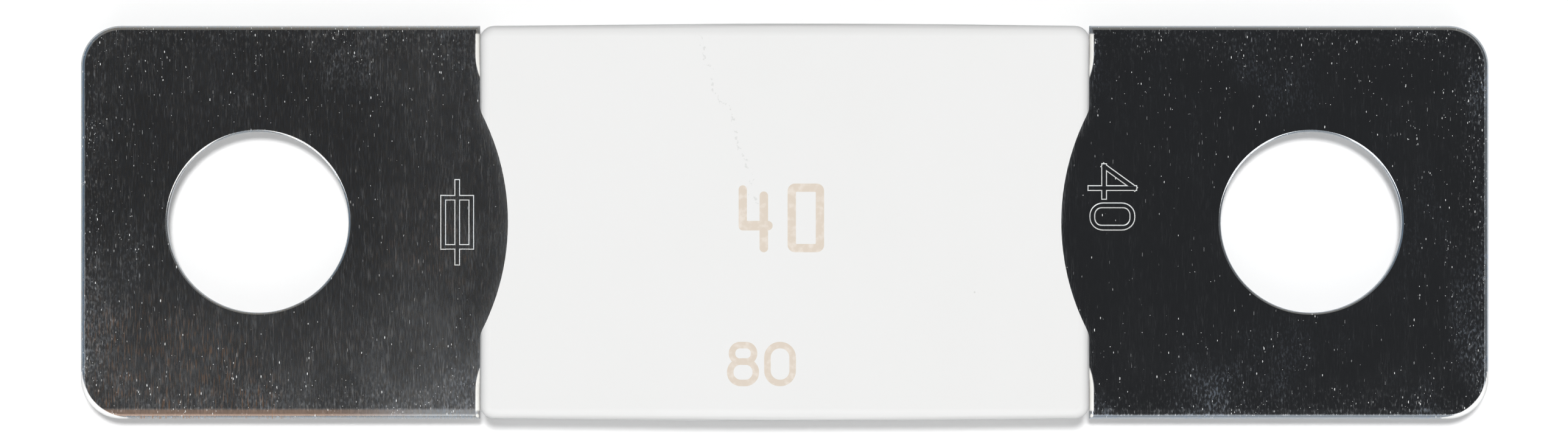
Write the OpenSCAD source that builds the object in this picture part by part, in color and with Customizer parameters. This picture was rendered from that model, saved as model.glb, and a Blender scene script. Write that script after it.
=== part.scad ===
// Bolt-down strip fuse: a one-piece stamped strip clamped between two pressed ceramic half shells.
// X runs along the strip, Y across it, and Z up to the face that carries the rating.
// The origin is under the middle of the fuse, on the surface that its lower shell rests on.

/* [Strip] */
// Width of each tab
tab_w = 22.4; // [19:0.2:26]
// Thickness of the strip
strip_t = 1.2; // [0.8:0.1:2]
// Distance from the centre of each bolt hole to the end of its tab
tab_end = 10.1; // [8:0.1:14]
// Radius of the outer corners of each tab
tab_corner_r = 2.3; // [1:0.1:4]
// Depth of the shoulder where each long edge steps in to the neck
shoulder_d = 3.05; // [2.4:0.05:4]
// Radius that the punch rolls over on the upper edges
roll_r = 0.3; // [0.1:0.05:0.4]
// Radius of the curve by which the roll runs out beside the neck
runout_r = 3.75; // [2:0.25:6]

/* [Bolt holes] */
// Distance between the two bolt holes
hole_pitch = 60; // [50:0.5:70]
// Diameter of each bolt hole
hole_d = 10.3; // [8.4:0.1:12]

/* [Fuse element] */
// Thickness of the middle of the strip, which is skived thin on both faces
skive_t = 0.3; // [0.2:0.05:0.6]
// Length of the ramp from each face of the neck down to the skived web
ramp_l = 0.6; // [0.3:0.1:1]
// Length of the thin web between each neck and the link
web_l = 2.5; // [1.5:0.1:3.5]
// Width of the melting link
link_w = 1.2; // [0.8:0.1:1.6]
// Length of the straight lead at each end of the link
lead_l = 2; // [1:0.1:3]
// Radius of the link's arch, on its centre line
arch_r = 2.6; // [2:0.1:3.2]
// Radius of the bends where the arch meets its leads, on their centre line
bend_r = 1.4; // [1.1:0.1:1.8]
// Height of the tin bead on the arch
tin_h = 0.35; // [0.2:0.05:0.5]
// Bare copper on each side of the tin bead
tin_margin = 0.15; // [0.05:0.05:0.25]
// Stretch of the arch that the tin bead covers, in degrees
tin_angle = 60; // [30:5:90]

/* [Ceramic shells] */
// Length of the body between the shoulders of the tabs
body_l = 34.6; // [29:0.2:39]
// How far the body's ends stay inside the edges of the tabs
side_step = 0.05; // [0:0.05:0.5]
// How far each long side bulges in the middle
crown = 0.14; // [0.08:0.02:0.4]
// Thickness of one half shell
shell_t = 4; // [3.2:0.1:6]
// Thickness of the ceramic over the arc chamber
shell_floor = 1.6; // [1.2:0.1:2.2]
// Radius of the body's corners seen from above
body_corner_r = 0.8; // [0.7:0.1:2]
// Radius of the rounded outer edges
edge_r = 0.6; // [0.3:0.05:0.65]
// Size of the chamfer round the joint face
joint_chamfer = 0.12; // [0.05:0.01:0.25]
// Radius of the washer relief in each end
relief_r = 13.5; // [11:0.5:16]
// Depth of the washer relief
relief_depth = 1.6; // [0.8:0.1:2]
// Radius of the blend between the relief and the end of the body
relief_blend_r = 1.2; // [0.4:0.1:2]
// Gap between each shoulder and the end of the body
shoulder_gap = 0.06; // [0.02:0.02:0.2]
// Gap between each edge of the neck and its pocket
neck_gap = 0.1; // [0.05:0.05:0.2]

/* [Arc chamber] */
// Distance from the ramps to each end of the chamber
chamber_margin = 0.9; // [0.5:0.1:2]
// Width of the ledge beside the chamber that carries the neck
ledge_w = 1.65; // [1:0.05:3]
// Radius of the chamber's upright corners
chamber_r = 3; // [1:0.5:4]

/* [Cement] */
// Width of the cement bead and of the groove that it fills
bead_w = 1; // [0.6:0.1:1.3]
// Depth of the groove in each shell
bead_depth = 0.5; // [0.3:0.1:0.8]
// Distance from each end of the body to the end of the bead
bead_end = 2.8; // [2:0.2:6]

/* [Hidden] */
$fn = 96;
// Overshoot that carries each cut through the surface that it opens
skin = 0.5;
// Degrees that the run-out of a roll turns on after it has left the metal
runout_over = 6;
// Thickness of the slices that the shell's rounded outline is wrapped around
slice = 0.01;
// Facets along a rounded edge, round a corner, along half of a bulging side and along a relief
edge_steps = 6;
corner_steps = 6;
crown_steps = 6;
relief_steps = 24;
blend_steps = 4;
mid_z = shell_t;
strip_l = hole_pitch + 2 * tab_end;
shoulder_x = body_l / 2 + shoulder_gap;
tab_l = strip_l / 2 - shoulder_x;
neck_w = tab_w - 2 * shoulder_d;
// The roll leaves the shoulder where its run-out has moved aside by the radius of the roll
runout_angle = acos(1 - roll_r / runout_r);
runout_y = neck_w / 2 + runout_r * sin(runout_angle);
// The link's two leads lie as far before the centre line as the top of its arch lies behind it
lead_y = (arch_r + bend_r) / 2;
arch_y = bend_r - lead_y;
link_span = 2 * (arch_r + bend_r + lead_l);
skive_l = link_span + 2 * web_l;
web_z = (strip_t - skive_t) / 2;
// The bulging side is an arc through both ends and the crown, and the corner arc is tangent to it
body_w = tab_w - 2 * side_step;
crown_r = (pow(body_l / 2, 2) + pow(crown, 2)) / (2 * crown);
crown_y = body_w / 2 + crown - crown_r;
corner_x = body_l / 2 - body_corner_r;
corner_y = crown_y + sqrt(pow(crown_r - body_corner_r, 2) - pow(corner_x, 2));
tangent_angle = atan2(corner_y - crown_y, corner_x);
// The relief's arc runs into the end of the body over a blend that is tangent to both
relief_x = body_l / 2 - relief_depth + relief_r;
blend_x = body_l / 2 - relief_blend_r;
blend_y = sqrt(pow(relief_r + relief_blend_r, 2) - pow(relief_x - blend_x, 2));
blend_angle = atan2(blend_y, relief_x - blend_x);
chamber_l = skive_l + 2 * ramp_l + 2 * chamber_margin;
chamber_w = neck_w - 2 * ledge_w;
chamber_depth = shell_t - shell_floor;
// The rim between the neck pocket and the side of the body carries the cement groove in its middle
pocket_w = neck_w + 2 * neck_gap;
bead_y = (pocket_w / 2 + body_w / 2) / 2;
bead_l = body_l - 2 * bead_end;

function arc(centre, r, from, to, steps) =
    [for (i = [0:steps]) let (a = from + (to - from) * i / steps) centre + r * [cos(a), sin(a)]];

// A quarter of the body's outline, drawn in by inset
function quarter_outline(inset) = concat(
    [[0, 0]],
    arc([corner_x, corner_y], body_corner_r - inset, 0, tangent_angle, corner_steps),
    arc([0, crown_y], crown_r - inset, tangent_angle, 90, crown_steps)
);

module both_ways(axis) {
    children();
    mirror(axis) children();
}

module body_plan(inset) {
    both_ways([1, 0]) both_ways([0, 1]) polygon(quarter_outline(inset));
}

// The block that one shell is pressed from: chamfered round its joint face, rounded round its outer face
module shell_block() {
    hull() {
        linear_extrude(slice) body_plan(joint_chamfer);
        translate([0, 0, joint_chamfer])
            linear_extrude(shell_t - edge_r - joint_chamfer) body_plan(0);
        for (i = [1:edge_steps]) {
            a = 90 * i / edge_steps;
            translate([0, 0, shell_t - edge_r + edge_r * sin(a) - slice])
                linear_extrude(slice) body_plan(edge_r * (1 - cos(a)));
        }
    }
}

// The space that the relief takes out of one end of the body, seen from above
function relief_outline() = concat(
    [[relief_x, blend_y]],
    arc([blend_x, blend_y], relief_blend_r, 0, -blend_angle, blend_steps),
    arc([relief_x, 0], relief_r, 180 - blend_angle, 180 + blend_angle, relief_steps),
    arc([blend_x, -blend_y], relief_blend_r, blend_angle, 0, blend_steps),
    [[relief_x, -blend_y]]
);

module washer_relief() {
    translate([0, 0, -skin]) linear_extrude(shell_t + 2 * skin) polygon(relief_outline());
}

module neck_pocket() {
    translate([-body_l / 2 - skin, -pocket_w / 2, -skin])
        cube([body_l + 2 * skin, pocket_w, strip_t / 2 + skin]);
}

// A box with round upright corners, standing on z = 0
module pocket_block(l, w, h, r) {
    translate([-l / 2, -w / 2 + r, 0]) cube([l, w - 2 * r, h]);
    translate([-l / 2 + r, -w / 2, 0]) cube([l - 2 * r, w, h]);
    both_ways([1, 0, 0]) both_ways([0, 1, 0])
        translate([l / 2 - r, w / 2 - r, 0]) cylinder(h = h, r = r);
}

module arc_chamber() {
    translate([0, 0, -skin])
        pocket_block(chamber_l, chamber_w, chamber_depth + skin, chamber_r);
}

// The cement bead's whole section, centred on the joint between the shells
module bead() {
    translate([0, bead_y, -bead_depth]) {
        translate([-(bead_l - bead_w) / 2, -bead_w / 2, 0])
            cube([bead_l - bead_w, bead_w, 2 * bead_depth]);
        both_ways([1, 0, 0])
            translate([(bead_l - bead_w) / 2, 0, 0]) cylinder(h = 2 * bead_depth, r = bead_w / 2);
    }
}

// One half shell with its joint face on z = 0 and its outer face up
module half_shell() {
    difference() {
        shell_block();
        both_ways([1, 0, 0]) washer_relief();
        neck_pocket();
        arc_chamber();
        both_ways([0, 1, 0]) bead();
    }
}

module upper_shell() {
    color("whitesmoke") translate([0, 0, mid_z]) half_shell();
}

module lower_shell() {
    color("whitesmoke") translate([0, 0, mid_z]) rotate([180, 0, 0]) half_shell();
}

module cement_front() {
    color("gainsboro") translate([0, 0, mid_z]) mirror([0, 1, 0]) bead();
}

module cement_rear() {
    color("gainsboro") translate([0, 0, mid_z]) bead();
}

module tab_blank() {
    translate([shoulder_x, -tab_w / 2, 0]) cube([tab_l - tab_corner_r, tab_w, strip_t]);
    translate([shoulder_x, -tab_w / 2 + tab_corner_r, 0])
        cube([tab_l, tab_w - 2 * tab_corner_r, strip_t]);
    both_ways([0, 1, 0])
        translate([strip_l / 2 - tab_corner_r, tab_w / 2 - tab_corner_r, 0])
            cylinder(h = strip_t, r = tab_corner_r);
}

// What a rolled-over edge lacks: the corner of a square outside a circle
module roll_section() {
    difference() {
        square(roll_r + skin);
        circle(roll_r);
    }
}

// The roll-over along the long edge, round the corner and along the end of a tab
module tab_roll() {
    translate([shoulder_x - skin, tab_w / 2 - roll_r, strip_t - roll_r])
        rotate([90, 0, 90]) linear_extrude(tab_l + skin - tab_corner_r) roll_section();
    translate([strip_l / 2 - tab_corner_r, tab_w / 2 - tab_corner_r, strip_t - roll_r])
        rotate_extrude(angle = 90) translate([tab_corner_r - roll_r, 0]) roll_section();
    translate([strip_l / 2 - roll_r, tab_w / 2 - tab_corner_r, strip_t - roll_r])
        rotate([90, 0, 0]) linear_extrude(tab_w / 2 - tab_corner_r) roll_section();
}

// The roll-over along a shoulder, which runs out beside the neck
module shoulder_roll() {
    translate([shoulder_x + roll_r, runout_y, strip_t - roll_r])
        rotate([-90, 0, 0]) linear_extrude(tab_w / 2 + skin - runout_y)
            rotate(180) roll_section();
    translate([shoulder_x + roll_r - runout_r, runout_y, strip_t - roll_r])
        rotate([0, 0, -runout_angle - runout_over]) rotate_extrude(angle = runout_angle + runout_over)
            translate([runout_r, 0]) mirror([1, 0]) roll_section();
}

module bolt_hole() {
    translate([hole_pitch / 2, 0, -skin]) cylinder(h = strip_t + 2 * skin, r = hole_d / 2);
    translate([hole_pitch / 2, 0, strip_t - roll_r])
        rotate_extrude() translate([hole_d / 2 + roll_r, 0]) mirror([1, 0]) roll_section();
}

module tab() {
    difference() {
        tab_blank();
        both_ways([0, 1, 0]) {
            tab_roll();
            shoulder_roll();
        }
        bolt_hole();
    }
}

// Half of the neck, from the shoulder to the skived web, drawn from the side
module neck() {
    upper_half = [
        [shoulder_x, strip_t / 2],
        [shoulder_x, strip_t],
        [skive_l / 2 + ramp_l, strip_t],
        [skive_l / 2, web_z + skive_t],
        [skive_l / 2, strip_t / 2]
    ];
    translate([0, neck_w / 2, 0]) rotate([90, 0, 0]) linear_extrude(neck_w) {
        polygon(upper_half);
        translate([0, strip_t]) mirror([0, 1]) polygon(upper_half);
    }
}

// The thin web between the neck and the link, on the middle of the strip's thickness
module web() {
    translate([link_span / 2, -neck_w / 2, web_z]) cube([web_l, neck_w, skive_t]);
}

module link_bend(r, angle) {
    rotate_extrude(angle = angle) translate([r - link_w / 2, 0]) square([link_w, skive_t]);
}

// Half of the melting link: a straight lead, a bend and a quarter of the arch
module link() {
    translate([0, arch_y, 0]) link_bend(arch_r, 90);
    translate([arch_r + bend_r, arch_y, 0]) rotate([0, 0, 180]) link_bend(bend_r, 90);
    translate([arch_r + bend_r, -lead_y - link_w / 2, 0])
        cube([lead_l, link_w, skive_t]);
}

module fuse_strip() {
    color("silver") translate([0, 0, mid_z - strip_t / 2]) both_ways([1, 0, 0]) {
        tab();
        neck();
        web();
        translate([0, 0, web_z]) link();
    }
}

// The tin bead is a half-round ridge that follows the top of the arch
module tin_bead() {
    tin_w = link_w - 2 * tin_margin;
    tin_r = (pow(tin_w / 2, 2) + pow(tin_h, 2)) / (2 * tin_h);
    color("lightgrey") translate([0, arch_y, mid_z + skive_t / 2])
        rotate([0, 0, 90 - tin_angle / 2]) rotate_extrude(angle = tin_angle)
            intersection() {
                translate([arch_r, tin_h - tin_r]) circle(tin_r);
                translate([arch_r - tin_w, 0]) square([2 * tin_w, tin_h + skin]);
            }
}

fuse_strip();
tin_bead();
lower_shell();
upper_shell();
cement_front();
cement_rear();
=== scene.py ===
"""Looks of the bolt-down strip fuse: a tin-plated strip, two white ceramic shells and a studio.

Every piece is modelled in millimetres in the part's own frame and brought to metres at the end.
"""

import functools
import logging
import math
from dataclasses import dataclass
from enum import Enum

import bmesh
import bpy
from bmesh.types import BMesh, BMFace
from mathutils import Matrix, Vector


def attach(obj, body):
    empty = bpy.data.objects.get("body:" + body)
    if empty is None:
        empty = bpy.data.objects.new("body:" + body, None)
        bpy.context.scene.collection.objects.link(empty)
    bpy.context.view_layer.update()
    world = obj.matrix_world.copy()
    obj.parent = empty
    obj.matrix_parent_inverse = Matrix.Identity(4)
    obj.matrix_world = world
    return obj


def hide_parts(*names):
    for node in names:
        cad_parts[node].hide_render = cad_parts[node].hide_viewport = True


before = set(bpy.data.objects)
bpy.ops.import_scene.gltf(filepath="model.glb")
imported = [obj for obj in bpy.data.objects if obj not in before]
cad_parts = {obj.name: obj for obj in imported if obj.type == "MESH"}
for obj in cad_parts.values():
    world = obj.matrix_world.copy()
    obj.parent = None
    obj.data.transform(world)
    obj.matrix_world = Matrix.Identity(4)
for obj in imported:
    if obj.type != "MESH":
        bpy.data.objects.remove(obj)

LOG = logging.getLogger("strip_fuse")
MM = 0.001
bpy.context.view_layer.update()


class Slot(Enum):
    """The record's material slots."""

    TIN_PLATE = "tinned_copper"
    CERAMIC = "white_ceramic"
    TIN = "tin"
    CEMENT = "cement"


class Cut(Enum):
    """What a tool does to the body that it meets."""

    REMOVE = "DIFFERENCE"
    JOIN = "UNION"


def whole(bm: BMesh) -> list:
    """Returns every vertex, edge and face of a mesh."""
    return bm.verts[:] + bm.edges[:] + bm.faces[:]


def plate(centre: tuple, size: tuple) -> BMesh:
    """Makes a plain block.

    Args:
        centre: The block's middle, in millimetres.
        size: Its three sides, in millimetres.

    Returns:
        A new mesh.
    """
    bm = bmesh.new()
    bmesh.ops.create_cube(bm, size=1)
    bmesh.ops.scale(bm, vec=size, verts=bm.verts)
    bmesh.ops.translate(bm, vec=centre, verts=bm.verts)
    return bm


def round_edges(bm: BMesh, edges: list, radius: float, steps: int) -> None:
    """Rounds edges to a radius.

    Args:
        bm: The mesh.
        edges: The edges to round.
        radius: Radius in millimetres.
        steps: Facets along each rounding.
    """
    bmesh.ops.bevel(bm, geom=edges, offset=radius, offset_type="OFFSET", segments=steps,
                    profile=0.5, affect="EDGES", material=-1, clamp_overlap=True)


def upright_edges(bm: BMesh) -> list:
    """Returns the edges that stand along Z."""
    return [e for e in bm.edges
            if (e.verts[0].co - e.verts[1].co).xy.length < 1e-5 < e.calc_length()]


def rounded_plate(centre: tuple, size: tuple, radius: float, steps: int = 10) -> BMesh:
    """Makes a block with round upright corners.

    Args:
        centre: The block's middle, in millimetres.
        size: Its three sides, in millimetres.
        radius: Radius of its corners, cut back to half of its narrow side.
        steps: Facets round each corner.

    Returns:
        A new mesh.
    """
    bm = plate(centre, size)
    round_edges(bm, upright_edges(bm), min(radius, 0.4995 * min(size[0], size[1])), steps)
    return bm


def mirrored(bm: BMesh, scale: tuple) -> BMesh:
    """Makes a mirrored copy that still faces outwards.

    Args:
        bm: The mesh to copy.
        scale: Minus one on each axis that is turned over.

    Returns:
        The copy.
    """
    twin = bm.copy()
    bmesh.ops.scale(twin, vec=scale, verts=twin.verts)
    bmesh.ops.recalc_face_normals(twin, faces=twin.faces)
    return twin


def clear_inside(bm: BMesh) -> None:
    """Deletes the faces that sweeping an end face leaves behind inside a solid."""
    inner = [f for f in bm.faces if all(len(e.link_faces) > 2 for e in f.edges)]
    bmesh.ops.delete(bm, geom=inner, context="FACES_ONLY")


def scratch_object(bm: BMesh) -> bpy.types.Object:
    """Puts a mesh into a passing object that a modifier can read.

    Args:
        bm: The mesh, which is used up.

    Returns:
        The object.
    """
    mesh = bpy.data.meshes.new("scratch")
    bm.to_mesh(mesh)
    bm.free()
    item = bpy.data.objects.new("scratch", mesh)
    bpy.context.scene.collection.objects.link(item)
    return item


def worked(body: BMesh, tools: list, cut: Cut = Cut.REMOVE) -> BMesh:
    """Cuts tools out of a body, or joins them to it.

    Args:
        body: The body, which is used up.
        tools: The tools, which are used up.
        cut: What the tools do.

    Returns:
        The body as the tools leave it.
    """
    items = [scratch_object(bm) for bm in [body, *tools]]
    for tool in items[1:]:
        modifier = items[0].modifiers.new("cut", "BOOLEAN")
        modifier.operation = cut.value
        modifier.solver = "EXACT"
        modifier.object = tool
    result = bmesh.new()
    result.from_object(items[0], bpy.context.evaluated_depsgraph_get())
    for item in items:
        bpy.data.meshes.remove(item.data)
    bmesh.ops.remove_doubles(result, verts=result.verts, dist=1e-5)
    return result


def finished(bm: BMesh, name: str, finish: bpy.types.Material,
             crease: float = 32) -> bpy.types.Object:
    """Brings a mesh to metres, dresses it and lets it ride on the fuse.

    Args:
        bm: The mesh in millimetres, which is used up.
        name: The piece's name.
        finish: Its material.
        crease: Angle in degrees above which an edge stays sharp.

    Returns:
        The piece.
    """
    bmesh.ops.scale(bm, vec=(MM, MM, MM), verts=bm.verts)
    bmesh.ops.recalc_face_normals(bm, faces=bm.faces)
    for face in bm.faces:
        face.smooth = True
    for edge in bm.edges:
        if len(edge.link_faces) == 2:
            edge.smooth = edge.calc_face_angle(0) < math.radians(crease)
    mesh = bpy.data.meshes.new(name)
    bm.to_mesh(mesh)
    bm.free()
    mesh.materials.append(finish)
    piece = bpy.data.objects.new(name, mesh)
    bpy.context.scene.collection.objects.link(piece)
    even = piece.modifiers.new("even_normals", "WEIGHTED_NORMAL")
    even.keep_sharp = True
    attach(piece, "root")
    LOG.info("%s: %d faces", name, len(mesh.polygons))
    return piece


class Desk:
    """A node tree with short ways to fill it."""

    def __init__(self, tree: bpy.types.NodeTree) -> None:
        """Takes the tree to fill."""
        self.tree = tree

    def add(self, kind: str, inputs: dict | None = None, **settings: object) -> bpy.types.Node:
        """Adds a node.

        Args:
            kind: The node's type, without the leading ShaderNode.
            inputs: Numbers, colours or sockets by input name or place.
            settings: Properties of the node itself.

        Returns:
            The node.
        """
        name = kind if kind.startswith("Node") else "ShaderNode" + kind
        node = self.tree.nodes.new(name)
        for key, value in settings.items():
            setattr(node, key, value)
        for key, value in (inputs or {}).items():
            if isinstance(value, bpy.types.NodeSocket):
                self.tree.links.new(value, node.inputs[key])
            else:
                node.inputs[key].default_value = value
        return node

    def math(self, operation: str, a: object, b: object = 0.0,
             clamp: bool = False) -> bpy.types.NodeSocket:
        """Adds a Math node and returns its result."""
        return self.add("Math", {0: a, 1: b}, operation=operation, use_clamp=clamp).outputs[0]

    def chain(self, operation: str, values: tuple) -> bpy.types.NodeSocket:
        """Joins values with one operation, from the first to the last."""
        return functools.reduce(lambda a, b: self.math(operation, a, b), values)

    def plus(self, *values: object) -> bpy.types.NodeSocket:
        """Adds values up."""
        return self.chain("ADD", values)

    def times(self, *values: object) -> bpy.types.NodeSocket:
        """Multiplies values."""
        return self.chain("MULTIPLY", values)

    def most(self, *values: object) -> bpy.types.NodeSocket:
        """Takes the highest of the values."""
        return self.chain("MAXIMUM", values)

    def ramp(self, value: object, low: float, high: float, to_low: float = 0.0,
             to_high: float = 1.0) -> bpy.types.NodeSocket:
        """Maps a value smoothly from one range to another.

        Args:
            value: The socket to map.
            low: Where the range starts.
            high: Where the range ends.
            to_low: Result at the start.
            to_high: Result at the end.

        Returns:
            The result's socket.
        """
        node = self.add("MapRange", {"Value": value, "From Min": low, "From Max": high,
                                     "To Min": to_low, "To Max": to_high},
                        interpolation_type="SMOOTHSTEP")
        return node.outputs["Result"]

    def blend(self, mask: object, a: object, b: object) -> bpy.types.NodeSocket:
        """Mixes two colours by a mask.

        Args:
            mask: 0 gives a, 1 gives b.
            a: The first colour or socket.
            b: The second colour or socket.

        Returns:
            The mixed colour's socket.
        """
        node = self.add("Mix", {0: mask}, data_type="RGBA")
        for place, value in ((6, a), (7, b)):
            if isinstance(value, bpy.types.NodeSocket):
                self.tree.links.new(value, node.inputs[place])
            else:
                node.inputs[place].default_value = (*value, 1)
        return node.outputs[2]

    def stretched(self, vector: object, scale: float | tuple,
                  turn: float) -> bpy.types.NodeSocket:
        """Scales a pattern's coordinates and turns them about Z.

        Args:
            vector: The coordinates' socket.
            scale: One number for all axes, or one for each.
            turn: The angle in radians.

        Returns:
            The new coordinates' socket.
        """
        sizes = scale if isinstance(scale, tuple) else (scale,) * 3
        return self.add("Mapping", {"Vector": vector, "Rotation": (0, 0, turn),
                                    "Scale": sizes}).outputs[0]

    def group(self, made: bpy.types.NodeTree, inputs: dict) -> bpy.types.NodeSocket:
        """Places a shared group.

        Args:
            made: The group.
            inputs: Numbers or sockets by input name.

        Returns:
            The group's first output.
        """
        return self.add("Group", inputs, node_tree=made).outputs[0]


def new_group(name: str, floats: dict, output: str) -> tuple:
    """Starts a shared effect with a Vector and some numbers going in and one value coming out.

    Args:
        name: The group's name.
        floats: The numbers that go in, with their defaults.
        output: The name of the value that comes out.

    Returns:
        The desk of the group, its input node and its output node.
    """
    tree = bpy.data.node_groups.new(name, "ShaderNodeTree")
    tree.interface.new_socket("Vector", in_out="INPUT", socket_type="NodeSocketVector")
    for key, value in floats.items():
        socket = tree.interface.new_socket(key, in_out="INPUT", socket_type="NodeSocketFloat")
        socket.default_value = value
    tree.interface.new_socket(output, in_out="OUTPUT", socket_type="NodeSocketFloat")
    desk = Desk(tree)
    return desk, desk.add("NodeGroupInput"), desk.add("NodeGroupOutput")


@dataclass(frozen=True)
class Cloud:
    """Soft clouds of a noise: its scale, its detail, the levels it is cut at and its turn."""

    scale: float | tuple
    detail: float
    low: float
    high: float
    turn: float = 0.0


@dataclass(frozen=True)
class Spots:
    """Scattered spots, which a stretched scale draws out into short scratches."""

    scale: float | tuple
    size: float
    turn: float = 0.0


class Effects:
    """Shared effects, each one built once."""

    def __init__(self) -> None:
        """Builds the effects."""
        self.specks = self.make_specks()
        self.mottle = self.make_mottle()

    def make_specks(self) -> bpy.types.NodeTree:
        """Builds spots in the cells of a lattice.

        Returns:
            The group, whose Mask is 0.3 to 1 inside a spot.
        """
        desk, entry, leave = new_group("specks", {"Size": 0.15, "Amount": 0.1}, "Mask")
        cells = desk.add("TexVoronoi", {"Vector": entry.outputs["Vector"], "Scale": 1.0})
        chance = desk.add("SeparateColor", {"Color": cells.outputs["Color"]})
        size = desk.times(entry.outputs["Size"], desk.plus(chance.outputs["Green"], 0.3))
        inside = desk.math("LESS_THAN", cells.outputs["Distance"], size)
        picked = desk.math("LESS_THAN", chance.outputs["Red"], entry.outputs["Amount"])
        faint = desk.plus(desk.times(chance.outputs["Blue"], 0.7), 0.3)
        desk.tree.links.new(desk.times(inside, picked, faint), leave.inputs["Mask"])
        return desk.tree

    def make_mottle(self) -> bpy.types.NodeTree:
        """Builds soft clouds between two levels of a noise.

        Returns:
            The group, whose Cloud runs from 0 to 1.
        """
        desk, entry, leave = new_group("mottle", {"Detail": 4, "Low": 0.4, "High": 0.6}, "Cloud")
        noise = desk.add("TexNoise", {"Vector": entry.outputs["Vector"], "Scale": 1.0,
                                      "Detail": entry.outputs["Detail"]})
        cloud = desk.add("MapRange", {"Value": noise.outputs[0],
                                      "From Min": entry.outputs["Low"],
                                      "From Max": entry.outputs["High"]},
                         interpolation_type="SMOOTHSTEP")
        desk.tree.links.new(cloud.outputs["Result"], leave.inputs["Cloud"])
        return desk.tree

    def cloud(self, desk: Desk, place: object, kind: Cloud) -> bpy.types.NodeSocket:
        """Spreads clouds over a material.

        Args:
            desk: The material's desk.
            place: The object coordinates.
            kind: The clouds' numbers.

        Returns:
            A value from 0 between the clouds to 1 inside them.
        """
        return desk.group(self.mottle, {
            "Vector": desk.stretched(place, kind.scale, kind.turn),
            "Detail": kind.detail, "Low": kind.low, "High": kind.high})

    def scatter(self, desk: Desk, place: object, kind: Spots,
                amount: object) -> bpy.types.NodeSocket:
        """Scatters spots over a material.

        Args:
            desk: The material's desk.
            place: The object coordinates.
            kind: The spots' numbers.
            amount: The share of cells that hold a spot.

        Returns:
            A value of 0 between the spots and 0.3 to 1 inside them.
        """
        return desk.group(self.specks, {
            "Vector": desk.stretched(place, kind.scale, kind.turn),
            "Size": kind.size, "Amount": amount})


def new_finish(name: str, settings: dict) -> tuple:
    """Starts a material.

    Args:
        name: The material's name.
        settings: Constants on the shader's own sockets.

    Returns:
        The material, its desk, its shader and the object coordinates' socket.
    """
    material = bpy.data.materials.new(name)
    material.use_nodes = True
    desk = Desk(material.node_tree)
    shader = material.node_tree.nodes["Principled BSDF"]
    for key, value in settings.items():
        shader.inputs[key].default_value = value
    return material, desk, shader, desk.add("TexCoord").outputs["Object"]


@dataclass(frozen=True)
class PlateMap:
    """Where the plate's effects lie, in metres.

    A pair is where a mask is 0 and where it is 1. Pairs of heights count from top_z, and sheen_x
    counts from shoulder_x. The pair stamp_z is the foot and the head of the stamped walls.
    """

    top_z: float = 0.0046
    end_x: float = 0.0401
    side_y: float = 0.0112
    shoulder_x: float = 0.01736
    roll_w: float = 0.0003
    left_tab: tuple = (0.02, -0.02)
    flat_z: tuple = (-0.00008, -0.00001)
    sheen_z: tuple = (-0.000002, -0.000008)
    sheen_x: tuple = (0.00034, 0.0003)
    sheen_tip: tuple = (0.01082, 0.01068)
    sheen_root: tuple = (0.0079, 0.0081)
    shoulder_glint: tuple = (0.01746, -0.01104)
    shoulder_glint_r: tuple = (0.00015, 0.00011)
    stamp_z: tuple = (-0.00004, -0.0000015)
    stamp_x: float = 0.0205
    stamp_y: float = 0.005
    streak_y: tuple = (0.005, -0.010)
    tint_inner: tuple = (-0.01058, -0.01074)
    tint_outer: tuple = (-0.01107, -0.01101)
    tint_start: tuple = (-0.019, -0.027)
    tint_end: tuple = (-0.0399, -0.0385)
    nick_reach: float = 0.0016
    haze_reach: float = 0.0075
    rub_reach: float = 0.0030
    corner: tuple = (0.03732, -0.00842, 0)
    corner_x: tuple = (0.0373, 0.0375)
    corner_y: tuple = (-0.0084, -0.0086)
    corner_r: tuple = (0.00267, 0.00272)
    lower_y: tuple = (0.002, -0.010)
    front_y: tuple = (0.006, -0.010)
    inner_x: tuple = (0.026, 0.019)
    rim_inner: tuple = (-0.01056, -0.01076)
    rim_outer: tuple = (-0.01104, -0.01094)


@dataclass(frozen=True)
class PlateDullness:
    """What each effect adds to the plate's roughness.

    A pair is for the right and the left tab. The painted shoulder sheen and the painted glints
    have a roughness of their own, which holds where it is the highest.
    """

    clean: float = 0.095
    left: float = 0.063
    grain: tuple = (0.10, 0.122)
    front: float = 0.012
    haze: tuple = (0.25, 0.14)
    inner: float = 0.045
    rubs: tuple = (0.2, 0.14)
    clouds: float = 0.025
    lower: float = 0.06
    rim: tuple = (0.05, 0.21)
    copper: float = 0.1
    marks: float = 0.4
    shoulder_sheen: float = 0.7
    painted_glints: float = 0.35


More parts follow.
